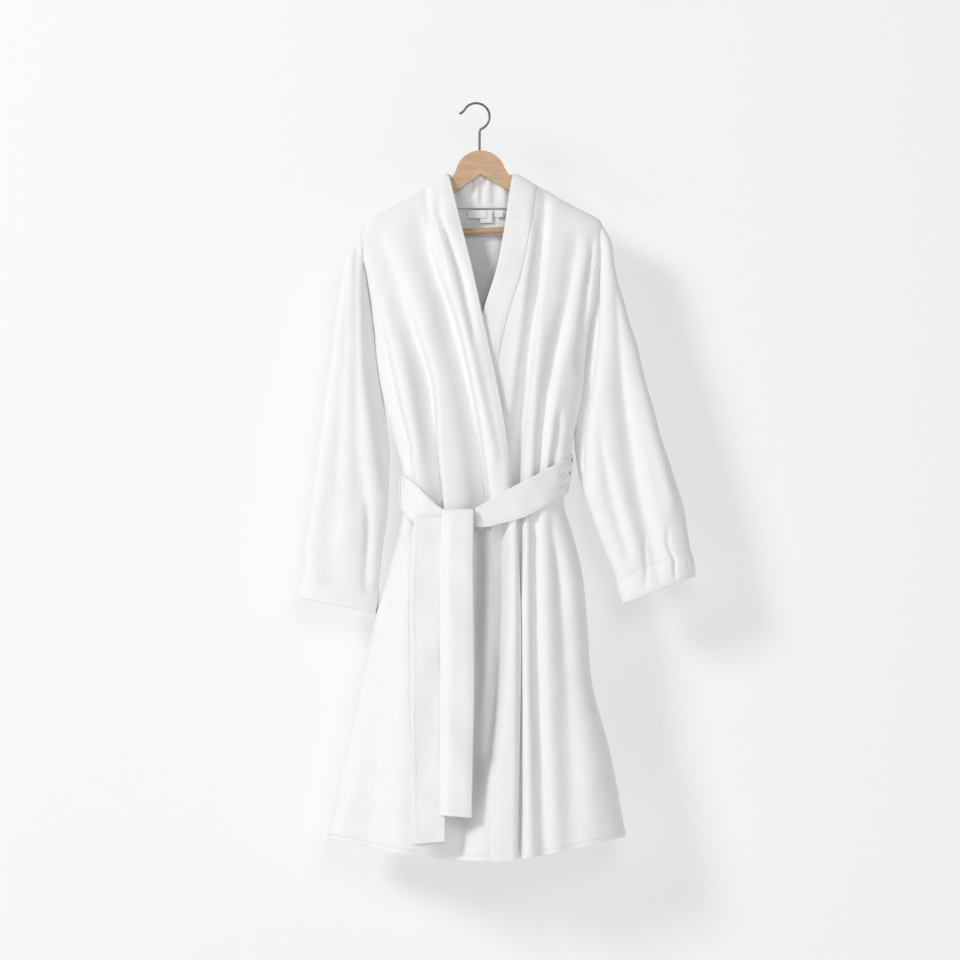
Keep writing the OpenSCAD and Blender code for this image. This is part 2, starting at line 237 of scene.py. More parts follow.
def thick_sheet(points, thickness, outward=None):
    """Vertices and quads of a cloth shell of even thickness with a rounded rim."""
    rows, cols = points.shape[:2]
    n = grid_normals(points)
    if outward is not None and np.sum(n * outward) < 0:
        n = -n
    rim = rim_indices(rows, cols)
    away = points[rim[:, 0], rim[:, 1]] - points[
        np.clip(rim[:, 0], 1, rows - 2), np.clip(rim[:, 1], 1, cols - 2)]
    away /= np.maximum(np.linalg.norm(away, axis=-1, keepdims=True), 1e-9)
    edge = points[rim[:, 0], rim[:, 1]]
    edge_n = n[rim[:, 0], rim[:, 1]]
    if np.ndim(thickness):
        thickness = np.asarray(thickness)[..., None]
    half = np.zeros((rows, cols, 1)) + thickness / 2
    rim_half = half[rim[:, 0], rim[:, 1]]
    bulge = [edge + away * rim_half * k + edge_n * rim_half * h
             for k, h in ((0.7, 0.72), (1.0, 0.0), (0.7, -0.72))]
    verts = np.concatenate([(points + n * half).reshape(-1, 3),
                            (points - n * half).reshape(-1, 3)] + bulge)
    count = rows * cols
    flat = rim[:, 0] * cols + rim[:, 1]
    m = len(rim)
    rings = [flat] + [2 * count + k * m + np.arange(m) for k in range(3)] + [flat + count]
    quads = [grid_quads(rows, cols, 0, False), grid_quads(rows, cols, count, True)]
    for a, b in zip(rings, rings[1:]):
        quads.append(np.stack([a, b, np.roll(b, -1), np.roll(a, -1)], -1))
    return verts, np.concatenate(quads)


def true_size(verts):
    """Outlines are tabled on the plane y = 0; what stands before it is made a little smaller."""
    verts = np.array(verts, float)
    scale = 1 + np.minimum(verts[:, 1], 0) / VIEW_DISTANCE
    verts[:, 0] *= scale
    verts[:, 2] = VIEW_Z + (verts[:, 2] - VIEW_Z) * scale
    return verts


def make_object(name, verts, faces, material):
    """A smooth mesh object from vertices in millimetres and faces."""
    mesh = bpy.data.meshes.new(name)
    faces = faces.tolist() if isinstance(faces, np.ndarray) else faces
    mesh.from_pydata((true_size(verts) * MM).tolist(), [], faces)
    mesh.validate()
    mesh.polygons.foreach_set("use_smooth", [True] * len(mesh.polygons))
    fix_winding(mesh)
    mesh.materials.append(material)
    obj = bpy.data.objects.new(name, mesh)
    bpy.context.scene.collection.objects.link(obj)
    return obj


def fix_winding(mesh):
    bm = bmesh.new()
    bm.from_mesh(mesh)
    bmesh.ops.recalc_face_normals(bm, faces=bm.faces)
    bm.to_mesh(mesh)
    bm.free()


def cloth(name, points, thickness, material, outward=None):
    verts, quads = thick_sheet(points, thickness, outward)
    return make_object(name, verts, quads, material)


# ---------------------------------------------------------------- materials

def node_material(name):
    m = bpy.data.materials.new(name)
    m.use_nodes = True
    tree = m.node_tree
    return m, tree, tree.nodes["Principled BSDF"]


def add_noise(tree, vector, scale, detail=2):
    """A noise texture's value output."""
    noise = tree.nodes.new("ShaderNodeTexNoise")
    noise.inputs["Scale"].default_value = scale
    noise.inputs["Detail"].default_value = detail
    tree.links.new(vector, noise.inputs["Vector"])
    return noise.outputs["Fac"]


def add_bump(tree, shader, height, strength, distance):
    bump = tree.nodes.new("ShaderNodeBump")
    bump.inputs["Strength"].default_value = strength
    bump.inputs["Distance"].default_value = distance
    tree.links.new(height, bump.inputs["Height"])
    tree.links.new(bump.outputs["Normal"], shader.inputs["Normal"])


def terry(name, colour, shade, pile=1.0, sheen=0.12):
    """Cotton velour: short pile as fine bump, soft mottling and a faint sheen."""
    m, tree, shader = node_material(name)
    nodes, links = tree.nodes, tree.links
    place = nodes.new("ShaderNodeTexCoord").outputs["Object"]
    mottle = add_noise(tree, place, 34, 5)
    pile_noise = add_noise(tree, place, 900, 3)
    tufts = nodes.new("ShaderNodeTexVoronoi")
    tufts.inputs["Scale"].default_value = 620
    links.new(place, tufts.inputs["Vector"])
    tint = nodes.new("ShaderNodeMix")
    tint.data_type = "RGBA"
    tint.inputs[6].default_value = (*shade, 1)
    tint.inputs[7].default_value = (*colour, 1)
    links.new(mottle, tint.inputs[0])
    links.new(tint.outputs[2], shader.inputs["Base Color"])
    add = nodes.new("ShaderNodeMath")
    add.operation = "ADD"
    links.new(pile_noise, add.inputs[0])
    links.new(tufts.outputs["Distance"], add.inputs[1])
    add_bump(tree, shader, add.outputs[0], 0.35 * pile, 0.0012)
    shader.inputs["Roughness"].default_value = 0.92
    shader.inputs["Specular IOR Level"].default_value = 0.06
    shader.inputs["Sheen Weight"].default_value = sheen
    shader.inputs["Sheen Roughness"].default_value = 0.5
    return m


def beech():
    """Pale lacquered beech with grain along the hanger."""
    m, tree, shader = node_material("beech")
    nodes, links = tree.nodes, tree.links
    stretch = nodes.new("ShaderNodeMapping")
    stretch.inputs["Scale"].default_value = (1.0, 9.0, 9.0)
    links.new(nodes.new("ShaderNodeTexCoord").outputs["Object"], stretch.inputs["Vector"])
    grain = add_noise(tree, stretch.outputs["Vector"], 22, 7)
    grain.node.inputs["Distortion"].default_value = 0.6
    flecks = add_noise(tree, stretch.outputs["Vector"], 160)
    both = nodes.new("ShaderNodeMix")
    both.data_type = "FLOAT"
    both.inputs[0].default_value = 0.25
    links.new(grain, both.inputs[2])
    links.new(flecks, both.inputs[3])
    ramp = nodes.new("ShaderNodeValToRGB")
    dark, light = ramp.color_ramp.elements
    dark.position = 0.35
    dark.color = (0.50, 0.31, 0.165, 1)
    light.position = 0.68
    light.color = (0.66, 0.43, 0.25, 1)
    links.new(both.outputs[0], ramp.inputs["Fac"])
    links.new(ramp.outputs["Color"], shader.inputs["Base Color"])
    add_bump(tree, shader, both.outputs[0], 0.12, 0.0008)
    shader.inputs["Roughness"].default_value = 0.42
    shader.inputs["Coat Weight"].default_value = 0.15
    shader.inputs["Coat Roughness"].default_value = 0.3
    return m


def steel():
    """Dark steel wire with uneven polish."""
    m, tree, shader = node_material("dark_steel")
    nodes, links = tree.nodes, tree.links
    grain = add_noise(tree, nodes.new("ShaderNodeTexCoord").outputs["Object"], 700)
    dull = nodes.new("ShaderNodeMapRange")
    dull.inputs["To Min"].default_value = 0.28
    dull.inputs["To Max"].default_value = 0.48
    links.new(grain, dull.inputs["Value"])
    links.new(dull.outputs["Result"], shader.inputs["Roughness"])
    shader.inputs["Base Color"].default_value = (0.16, 0.16, 0.165, 1)
    shader.inputs["Metallic"].default_value = 1.0
    return m


def plain(name, colour, roughness=0.6):
    m, _, shader = node_material(name)
    shader.inputs["Base Color"].default_value = (*colour, 1)
    shader.inputs["Roughness"].default_value = roughness
    return m


WHITE = terry("white_terry", (0.93, 0.93, 0.935), (0.89, 0.89, 0.89))
BAND = terry("band_velour", (0.93, 0.93, 0.935), (0.90, 0.90, 0.90), pile=0.7)
BELT = terry("belt_velour", (0.93, 0.93, 0.935), (0.90, 0.90, 0.90), pile=0.7)
LINING = terry("pocket_cotton", (0.86, 0.86, 0.84), (0.82, 0.82, 0.80), pile=0.3, sheen=0.1)
THREAD = plain("thread", (0.84, 0.835, 0.82), 0.8)
LABEL = terry("label_satin", (0.93, 0.93, 0.93), (0.90, 0.90, 0.90), pile=0.1, sheen=0.1)
BEECH = beech()
STEEL = steel()


# ---------------------------------------------------------------- camera, light and stage

def look_from_front():
    cam = bpy.data.objects.new("camera", bpy.data.cameras.new("camera"))
    cam.location = (0.0008, -4.5, -0.6568)
    cam.rotation_euler = (math.radians(90), 0, 0)
    cam.data.lens = 96.4
    cam.data.sensor_width = 36
    bpy.context.scene.collection.objects.link(cam)
    bpy.context.scene.camera = cam


def area_light(name, place, aim, size, watts):
    lamp = bpy.data.lights.new(name, "AREA")
    lamp.shape = "DISK"
    lamp.size = size
    lamp.energy = watts
    obj = bpy.data.objects.new(name, lamp)
    obj.location = place
    direction = np.array(aim, float) - np.array(place, float)
    obj.rotation_euler = Vector(direction).to_track_quat("-Z", "Y").to_euler()
    bpy.context.scene.collection.objects.link(obj)


def see_through_from_behind(material, colour):
    """A studio wall that only shows its front, so the object can be seen from behind."""
    tree = material.node_tree
    nodes, links = tree.nodes, tree.links
    out = nodes["Material Output"]
    shader = nodes["Principled BSDF"]
    shader.inputs["Base Color"].default_value = (*colour, 1)
    shader.inputs["Emission Color"].default_value = (1, 1, 1, 1)
    shader.inputs["Emission Strength"].default_value = 0.38
    shader.inputs["Roughness"].default_value = 0.95
    shader.inputs["Specular IOR Level"].default_value = 0.0
    facing = nodes.new("ShaderNodeNewGeometry")
    clear = nodes.new("ShaderNodeBsdfTransparent")
    choose = nodes.new("ShaderNodeMixShader")
    links.new(facing.outputs["Backfacing"], choose.inputs["Fac"])
    links.new(shader.outputs[0], choose.inputs[1])
    links.new(clear.outputs[0], choose.inputs[2])
    links.new(choose.outputs[0], out.inputs["Surface"])


def studio():
    """Pale wall close behind the robe and a floor well below it, joined by a cove."""
    m = node_material("studio")[0]
    see_through_from_behind(m, (0.57, 0.57, 0.57))
    wall_y, floor_z, cove = 0.135, -1.95, 0.35
    profile = [(wall_y, 3.5), (wall_y, floor_z + cove)]
    for i in range(1, 13):
        a = math.radians(90 * i / 12)
        profile.append((wall_y - cove + cove * math.cos(a), floor_z + cove - cove * math.sin(a)))
    profile.append((-7.0, floor_z))
    verts = [(x, y, z) for x in (-6, 6) for y, z in profile]
    n = len(profile)
    quads = [(i, i + 1, n + i + 1, n + i) for i in range(n - 1)]
    mesh = bpy.data.meshes.new("studio")
    mesh.from_pydata(verts, [], quads)
    mesh.materials.append(m)
    mesh.polygons.foreach_set("use_smooth", [True] * len(mesh.polygons))
    if mesh.polygons[0].normal.y > 0:
        mesh.flip_normals()
    obj = bpy.data.objects.new("studio", mesh)
    bpy.context.scene.collection.objects.link(obj)


def light_scene():
    world = bpy.data.worlds.new("world")
    world.use_nodes = True
    world.node_tree.nodes["Background"].inputs[0].default_value = (1.0, 1.0, 1.0, 1)
    world.node_tree.nodes["Background"].inputs[1].default_value = 0.26
    scene = bpy.context.scene
    scene.world = world
    scene.view_settings.view_transform = "Standard"
    scene.view_settings.look = "None"
    scene.view_settings.exposure = 0.0
    area_light("key", (-4.4, -4.5, 2.3), (0, 0, -0.75), 1.7, 214)
    area_light("fill", (0.5, -4.3, 0.5), (0, 0, -0.6), 1.4, 36)
    area_light("rim", (1.6, 3.4, 1.2), (0, 0, -0.7), 1.5, 12)


look_from_front()
light_scene()
studio()


# ---------------------------------------------------------------- the robe's shape

def loop_point(low, high, front, back, t, z):
    """A squarish loop whose x is even in cos t, with its outward direction."""
    c = np.cos(t)
    v = (1 - np.minimum(np.abs(c), 1) ** SECTION_POWER) ** (1 / SECTION_POWER) * np.sign(np.sin(t))
    depth = np.where(v > 0, front, back)
    half = (high - low) / 2
    nx = signed_pow(c, SECTION_POWER - 1) / half
    ny = -signed_pow(v, SECTION_POWER - 1) / depth
    size = np.maximum(np.hypot(nx, ny), 1e-9)
    point = np.stack([(low + high) / 2 + half * c + 0 * z, -depth * v + 0 * z, z + 0 * c], -1)
    return point, np.stack([nx / size + 0 * z, ny / size + 0 * z, 0 * (c + z)], -1)


def robe_point(t, z):
    return loop_point(level(1, z), level(2, z), level(3, z), level(4, z), t, z)


def turn_at(x, z):
    """The loop's parameter where the front passes x."""
    low, high = level(1, z), level(2, z)
    return np.arccos(np.clip((2 * x - low - high) / (high - low), -1, 1))


def right_edge(z):
    return smooth_curve(RIGHT_EDGE, z)


def left_edge(z):
    return smooth_curve(LEFT_EDGE, z)


def under_layer(x, z):
    """How far the left front lies inside the right front where the two overlap."""
    return 9.0 * (1 - smoothstep(66, 100, x)) * (1 - smoothstep(-372, -290, z))


def near_belt(x, z):
    """1 along the belt's height on the front, where the cloth is pressed flat."""
    middle = smooth_curve([(-130, -690), (-60, -722), (0, -722), (60, -698), (150, -642)], x)
    return np.exp(-((z - middle) / 30.0) ** 4)


def front_relief(x, z, seed):
    """Outward displacement of the front cloth from all its folds."""
    own = -fold_depth(RIGHT_FRONT_FOLDS, x, z) - fold_depth(LEFT_FRONT_FOLDS, x, z)
    own = own + unevenness(x, z, seed) * smoothstep(-135, -260, z)
    return np.where(own > 0, own * (1 - near_belt(x, z)), own)


def back_relief(x, z, seed):
    own = -fold_depth(BACK_FOLDS, x, z) + unevenness(x, z, seed) * smoothstep(-135, -260, z)
    pressed = np.exp(-((z + 660) / 34.0) ** 4)
    return np.where(own > 0, own * (1 - pressed), own)


def panel(z, turn_from, turn_to, columns, relief):
    """A patch of the robe's loop; its relief fades out at the side seams, so that panels meet."""
    z = z[:, None]
    s = np.linspace(0, 1, columns)[None, :]
    t = mix(turn_from(z), turn_to(z), s)
    base, outward = robe_point(t, z)
    x = base[..., 0]
    seam = smoothstep(0.02, 0.30, np.abs(np.sin(t)))
    points = base + outward * (relief(x, z + 0 * x) * seam)[..., None]
    points[..., 2] -= hem_drop(x, z)
    return points, outward


def heights(top, bottom, step=5.0):
    return np.linspace(top, bottom, int(abs(top - bottom) / step) + 2)


def right_relief(x, z):
    return front_relief(x, z, FRONT_SEED)


def right_front_points():
    return panel(heights(-124, HEM_Z), lambda z: turn_at(right_edge(z) - BAND_W + 6, z),
                 lambda z: math.pi + 0 * z, 96, right_relief)


def left_relief(x, z):
    return front_relief(x, z, FRONT_SEED) - under_layer(x, z)


def left_front_points():
    return panel(heights(-124, HEM_Z), lambda z: 0 * z,
                 lambda z: turn_at(left_edge(z) + BAND_W - 6, z), 96, left_relief)


def back_points():
    return panel(heights(TOP_Z, HEM_Z), lambda z: math.pi + 0 * z, lambda z: 2 * math.pi + 0 * z,
                 120, lambda x, z: back_relief(x, z, BACK_SEED))


def band_points(edge, side, relief, top, bottom, lift):
    """A folded band along a front edge; side is +1 where the cloth lies on the -X side of it."""
    z = heights(top, bottom, 3.5)
    return panel(z, lambda h: turn_at(edge(h), h), lambda h: turn_at(edge(h) - side * BAND_W, h),
                 16, lambda x, h: relief(x, h) + lift)


def quilting(v, along, pitch=STITCH_PITCH):
    """Outward puff of a padded band: two seams and a short cross stitch at each pitch."""
    puff = 1 - np.abs(2 * v - 1) ** 4
    seams = sum(np.exp(-((v - at) / 0.045) ** 2) for at in BAND_SEAMS)
    cross = np.exp(-(((along + pitch / 2) % pitch - pitch / 2) / 1.8) ** 2)
    cross = cross * smoothstep(0.2, 0.3, v) * (1 - smoothstep(0.68, 0.8, v))
    return puff, seams, cross


# ---------------------------------------------------------------- stitches

def stitches(points, normals, length, width, height):
    """Short raised threads laid end to end along a row of points."""
    step = np.linalg.norm(np.diff(points, axis=0), axis=1)
    run = np.concatenate([[0], np.cumsum(step)])
    count = int(run[-1] / (length * 1.55))
    verts, quads = [], []
    for i in range(count):
        start = (i + 0.2) * length * 1.55
        marks = np.array([start, start + length * 0.25, start + length * 0.75, start + length])
        p = np.stack([np.interp(marks, run, points[:, k]) for k in range(3)], -1)
        n = np.stack([np.interp(marks, run, normals[:, k]) for k in range(3)], -1)
        add_thread(verts, quads, p, n, width, height)
    return verts, quads


def add_thread(verts, quads, p, n, width, height):
    direction = p[-1] - p[0]
    direction /= max(np.linalg.norm(direction), 1e-9)
    first = len(verts)
    for k, swell in enumerate((0.35, 1.0, 1.0, 0.35)):
        side = np.cross(direction, n[k])
        side /= max(np.linalg.norm(side), 1e-9)
        for a, b in ((-0.5, -0.4), (-0.35, 0.7), (0.35, 0.7), (0.5, -0.4)):
            verts.append(p[k] + side * a * width * swell + n[k] * b * height * swell)
    for k in range(3):
        for j in range(4):
            a, b = first + 4 * k + j, first + 4 * k + (j + 1) % 4
            quads.append((a, b, b + 4, a + 4))
    quads.append((first, first + 1, first + 2, first + 3))
    quads.append((first + 15, first + 14, first + 13, first + 12))


def thread_row(points, normals, lift):
    """Points raised off the cloth by lift, one number or one for each point, with normals."""
    return points + normals * np.reshape(lift, (-1, 1)), normals


def with_stitches(obj, rows, length=2.6, width=0.9, height=0.5):
    """Adds rows of thread to a cloth object; each row is (points, normals) in millimetres."""
    verts, quads = [], []
    for points, normals in rows:
        v, q = stitches(points, normals, length, width, height)
        quads += [tuple(i + len(verts) for i in face) for face in q]
        verts += list(v)
    if not verts:
        return obj
    extra = make_object(obj.name + "_thread", verts, quads, THREAD)
    join(obj, extra)
    return obj


def join(obj, *others):
    bpy.ops.object.select_all(action="DESELECT")
    for o in (obj,) + others:
        o.select_set(True)
    bpy.context.view_layer.objects.active = obj
    bpy.ops.object.join()
    return obj


# ---------------------------------------------------------------- joining some pieces to bodies, fixing the rest in place

HINGE_TOP = np.array([66, -63, -740.0])
HINGE_ACROSS = np.array([0.991, 0.0, -0.130])


def attach(obj, body, slot, *nodes):
    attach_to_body(obj, body)
    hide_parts(*nodes)
    return obj


def attach_across(obj, bodies, start, end, slot, *nodes):
    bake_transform(obj)
    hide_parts(*nodes)
    return obj


def across_corner(obj, slot, *nodes):
    return attach_across(obj, ("robe", "front_corner"), HINGE_TOP - 12 * HINGE_ACROSS,
                         HINGE_TOP + 10 * HINGE_ACROSS, slot, *nodes)


def hem_row(points, outward, lift=1.7, up=8):
    """A row of thread points a little above the hem, just proud of the cloth."""
    row = points[-1].copy()
    row[:, 2] += up
    return thread_row(row, outward[-1], lift)


# ---------------------------------------------------------------- body cloth and bands

def make_back():
    points, outward = back_points()
    obj = cloth("back_cloth", points, CLOTH_T, WHITE, outward)
    with_stitches(obj, [hem_row(points, outward)], 3.4)
    attach(obj, "robe", "white_terry", "back_panel")


def make_right_front():
    points, outward = right_front_points()
    obj = cloth("front_right", points, CLOTH_T, WHITE, outward)
    with_stitches(obj, [hem_row(points, outward)], 3.4)
    across_corner(obj, "white_terry", "right_front", "flap_cloth")


def make_left_front():
    points, outward = left_front_points()
    obj = cloth("front_left", points, CLOTH_T, WHITE, outward)
    with_stitches(obj, [hem_row(points, outward)], 3.4)
    attach(obj, "robe", "white_terry", "left_front")


def make_band(name, edge, side, relief, top, bottom, lift):
    points, outward = band_points(edge, side, relief, top, bottom, lift)
    rows, columns = points.shape[:2]
    v = np.linspace(0, 1, columns)[None, :] + np.zeros((rows, 1))
    along = -points[..., 2]
    puff, seams, cross = quilting(v, along)
    skin = points + outward * (0.6 * puff - 0.7 * seams - 0.8 * cross)[..., None]
    obj = cloth(name, skin, 3.2 + 2.2 * puff, BAND, outward)
    lines = []
    for at in BAND_SEAMS:
        c = int(round(at * (columns - 1)))
        lines.append(thread_row(skin[:, c], outward[:, c], 1.7 + 1.1 * puff[:, c]))
    first, last = int(0.28 * columns), int(0.72 * columns)
    z = along[:, columns // 2]
    top_stitch = math.ceil(z[0] / STITCH_PITCH) * STITCH_PITCH
    for at in np.arange(top_stitch, z[-1], STITCH_PITCH):
        r = int(np.argmin(np.abs(z - at)))
        part = (r, slice(first, last))
        lines.append(thread_row(skin[part], outward[part], 1.6 + 1.1 * puff[part]))
    with_stitches(obj, lines)
    return obj


def make_right_band():
    obj = make_band("band_right", right_edge, 1, right_relief, TOP_Z, HEM_Z - 1, 2.2)
    across_corner(obj, "band_terry", "right_collar_band", "right_lower_band", "flap_band")


def make_left_band():
    obj = make_band("band_left", left_edge, -1, left_relief, TOP_Z, HEM_Z - 1, 2.0)
    attach(obj, "robe", "band_terry", "left_collar_band", "left_lower_band")


def make_neck_band():
    """Back neck facing: a soft gathered band inside the collar."""
    z = heights(-121, -178, 2.5)
    base, outward = panel(
        z, lambda h: math.radians(212) + 0 * h, lambda h: math.radians(328) + 0 * h, 90,
        lambda x, h: -7.0 + 2.6 * np.sin(x / 3.6 + 0.7 * np.sin(x / 9.0))
        * smoothstep(-120, -135, h) * (1 - 0.7 * smoothstep(-160, -176, h)))
    obj = cloth("neck_facing", base, 3.6, BAND, -outward)
    attach(obj, "robe", "band_terry", "neck_band")


# ---------------------------------------------------------------- sleeves and cuffs

# Stations down each sleeve: low-x edge x and z, high-x edge x and z, half depth
RIGHT_SLEEVE = [(-207, -214, -199, -216, 8), (-219, -240, -200, -244, 14),
                (-236, -280, -196, -290, 20), (-249, -365, -186, -380, 27),
                (-262, -460, -176, -480, 31), (-277, -570, -160, -590, 33),
                (-290, -670, -160, -690, 34), (-301, -760, -171, -784, 33),
                (-307, -824, -179, -848, 32)]
RIGHT_CUFF = [(-307, -821, -179, -847, 32), (-310, -842, -180.5, -868, 32.5),
              (-312, -863, -182, -889, 31)]
LEFT_SLEEVE = [(208, -214, 214, -212, 8), (208, -244, 229, -240, 14),
               (200, -300, 238, -292, 20), (192, -390, 262, -380, 27),
               (178, -480, 284, -468, 31), (166, -575, 308, -560, 33),
               (176, -650, 336, -640, 34), (200, -725, 356, -705, 33),
               (241, -831, 368, -785, 32)]
LEFT_CUFF = [(241, -828, 368, -783, 32), (246, -850, 371, -804, 32.5),
             (251, -873, 374, -825, 31)]

RIGHT_SLEEVE_FOLDS = [
    Fold((-290, -194, 10, 14, 20), (-380, -186, 22, 18, 24), (-480, -176, 28, 20, 26),
         (-580, -160, 26, 20, 26), (-650, -158, 14, 16, 20)),
    Fold((-250, -216, 3, 6, 6), (-330, -218, 4, 10, 8), (-500, -216, 7, 14, 10),
         (-680, -208, 6, 16, 12)),
    Fold((-300, -236, 2, 10, 8), (-450, -240, 6, 14, 12), (-640, -252, 7, 20, 16),
         (-820, -262, 6, 22, 18)),
    Fold((-660, -200, 3, 8, 8), (-740, -194, 7, 8, 8), (-830, -198, 6, 10, 9)),
]
LEFT_SLEEVE_FOLDS = [
    Fold((-270, 208, 8, 14, 12), (-380, 192, 24, 20, 18), (-470, 180, 30, 24, 22),
         (-570, 168, 26, 22, 20), (-640, 172, 10, 16, 14)),
    Fold((-340, 240, 3, 8, 8), (-470, 250, 8, 14, 10), (-600, 266, 15, 20, 14),
         (-700, 284, 15, 20, 16), (-800, 308, 8, 18, 16)),
    Fold((-420, 270, -3, 8, 8), (-560, 300, -7, 12, 10), (-690, 334, -6, 12, 10)),
    Fold((-600, 214, 4, 8, 8), (-680, 230, 8, 12, 12), (-780, 258, 7, 12, 12)),
    Fold((-770, 330, 5, 4, 4), (-800, 342, 5, 4, 4)),
    Fold((-780, 288, 5, 4, 4), (-812, 292, 5, 4, 4)),
]
SLEEVE_BACK_FOLDS = [
    Fold((-225, 15, 5, 60, 60), (-330, 15, 17, 60, 60), (-600, 12, 15, 50, 50)),
    Fold((-300, 230, 3, 14, 12), (-520, 246, 8, 20, 16), (-760, 296, 7, 22, 20)),
    Fold((-380, 252, 2, 12, 10), (-640, 300, 6, 16, 14), (-780, 330, 4, 16, 14)),
]


def tube_points(stations, rows, columns, front_folds, back_folds, seed, lift=0.0):
    """Points and outward directions of a folded tube; rows run down it, columns round it."""
    table = np.array(stations, float)
    place = np.linspace(0, len(table) - 1, rows)
    st = np.stack([smooth_curve([(i, table[i, k]) for i in range(len(table))], place)
                   for k in range(5)], -1)[:, None, :]
    t = np.linspace(0, 2 * math.pi, columns, endpoint=False)[None, :]
    along = (1 + np.cos(t)) / 2
    z = mix(st[..., 1], st[..., 3], along)
    base, outward = loop_point(st[..., 0], st[..., 2], st[..., 4], st[..., 4], t, z)
    base[..., 2] = z
    x = base[..., 0]
    front = smoothstep(-0.15, 0.25, np.sin(t))
    out = -(fold_depth(front_folds, x, z) * front + fold_depth(back_folds, x, z) * (1 - front))
    out = out + unevenness(x + 40 * np.sin(t), z, seed, 0.8) * smoothstep(-225, -300, z)
    return base + outward * (out + lift)[..., None], outward


def tube_shell(points, normals, thickness):
    """Vertices and quads of an open tube with rounded rims; columns go round."""
    rows, cols = points.shape[:2]
    half = np.zeros((rows, cols, 1)) + thickness / 2
    ends = []
    for r, inner in ((0, 1), (rows - 1, rows - 2)):
        away = points[r] - points[inner]
        away /= np.maximum(np.linalg.norm(away, axis=-1, keepdims=True), 1e-9)
        ends.append(points[r] + away * half[r])
    outer = points + normals * half
    inner = points - normals * half
    stack = np.concatenate([outer, ends[1][None], inner[::-1], ends[0][None]])
    n = len(stack)
    r, c = np.meshgrid(np.arange(n), np.arange(cols), indexing="ij")
    r2, c2 = (r + 1) % n, (c + 1) % cols
    quads = np.stack([r * cols + c, r * cols + c2, r2 * cols + c2, r2 * cols + c], -1)
    return stack.reshape(-1, 3), quads.reshape(-1, 4)


def tube_normals(points, outward):
    down = np.gradient(points, axis=0)
    across = np.roll(points, -1, axis=1) - np.roll(points, 1, axis=1)
    n = np.cross(down, across)
    n /= np.maximum(np.linalg.norm(n, axis=-1, keepdims=True), 1e-9)
    return n if np.sum(n * outward) > 0 else -n


SHOULDER_BEND = 88


def make_sleeve(name, stations, front_folds, back_folds, seed, side, node):
    """A sleeve tube hanging from the robe's shoulder, fixed in place rather than joined to a body.
    """
    points, outward = tube_points(stations, 150, 120, front_folds, back_folds, seed)
    obj = make_object(name, *tube_shell(points, tube_normals(points, outward), CLOTH_T), WHITE)
    shoulder = np.array([-203, 0, -214]) if side < 0 else np.array([208, 0, -214])
    away = np.array([side * 0.93, 0, -0.37])
    arm = "right_arm" if side < 0 else "left_arm"
    attach_across(obj, ("robe", arm), shoulder + 2 * away, shoulder + SHOULDER_BEND * away,
                  "white_terry", node)


def make_cuff(name, stations, body, node, folds, mark):
    """A quilted band round a sleeve's end; mark is how deep its cross stitches pull in."""
    points, outward = tube_points(stations, 22, 160, folds, [], 5, lift=0.5)
    rows, cols = points.shape[:2]
    v = np.linspace(0, 1, rows)[:, None] + np.zeros((1, cols))
    step = np.linalg.norm(np.roll(points, -1, axis=1) - points, axis=-1)
    run = np.cumsum(step, axis=1)
    pitch = run[rows // 2, -1] / round(run[rows // 2, -1] / STITCH_PITCH)
    along = run[rows // 2][None, :] + np.zeros((rows, 1))
    puff, seams, cross = quilting(v, along, pitch)
    n = tube_normals(points, outward)
    skin = points + n * (0.8 * puff - 0.6 * seams - mark * cross)[..., None]
    obj = make_object(name, *tube_shell(skin, n, (3.0 + 1.6 * puff)[..., None]), BAND)
    lines = []
    for at in BAND_SEAMS:
        r = int(round(at * (rows - 1)))
        loop = list(range(cols)) + [0]
        lines.append(thread_row(skin[r, loop], n[r, loop], 1.5 + 0.8 * puff[r, loop]))
    first, last = int(0.25 * rows), int(0.78 * rows)
    for at in np.arange(pitch, run[rows // 2, -1], pitch):
        c = int(np.argmin(np.abs(run[rows // 2] - at)))
        part = (slice(first, last), c)
        lines.append(thread_row(skin[part], n[part], 1.5 + 0.8 * puff[part]))
    with_stitches(obj, lines)
    attach(obj, body, "band_terry", node)


# ---------------------------------------------------------------- belt

# Upper and lower edge of the belt across the front: x, height
BELT_TOP_RIGHT = [(-4, -706), (7, -700), (20, -692), (54, -672), (92, -651), (110, -640),
                  (156, -611)]
BELT_LOW_RIGHT = [(-4, -737), (13, -737), (30, -732), (60, -725), (92, -712), (128, -691),
                  (150, -672)]
BELT_TOP_LEFT = [(-131, -651), (-117, -660), (-95, -681), (-65, -708), (-40, -716), (-10, -716)]
BELT_LOW_LEFT = [(-131, -708), (-117, -722), (-95, -738), (-65, -752), (-40, -756), (-10, -756)]


def belt_strip():
    """The ring of the belt from its left end on the front, round the back, to the knot."""
    columns = 260
    turns = np.linspace(math.radians(104), math.radians(455.4), columns)
    v = np.linspace(0, 1, 17)
    rough = robe_point(turns, -680 + 0 * turns)[0][:, 0]
    top, low = np.zeros(columns), np.zeros(columns)
    back_top = smooth_curve([(180, -651), (225, -640), (270, -632), (315, -622), (360, -611)],
                            np.degrees(turns) % 360)
    for i, turn in enumerate(np.degrees(turns)):
        x = rough[i]
        if turn < 180:
            top[i] = smooth_curve(BELT_TOP_LEFT, x)
            low[i] = smooth_curve(BELT_LOW_LEFT, x)
        elif turn < 360:
            top[i] = back_top[i]
            low[i] = back_top[i] - mix(57, 61, (turn - 180) / 180)
        else:
            top[i] = smooth_curve(BELT_TOP_RIGHT, x)
            low[i] = smooth_curve(BELT_LOW_RIGHT, x)
    z = mix(top[None, :], low[None, :], v[:, None])
    base, outward = robe_point(turns[None, :] + 0 * z, z)
    return base, outward, v, turns


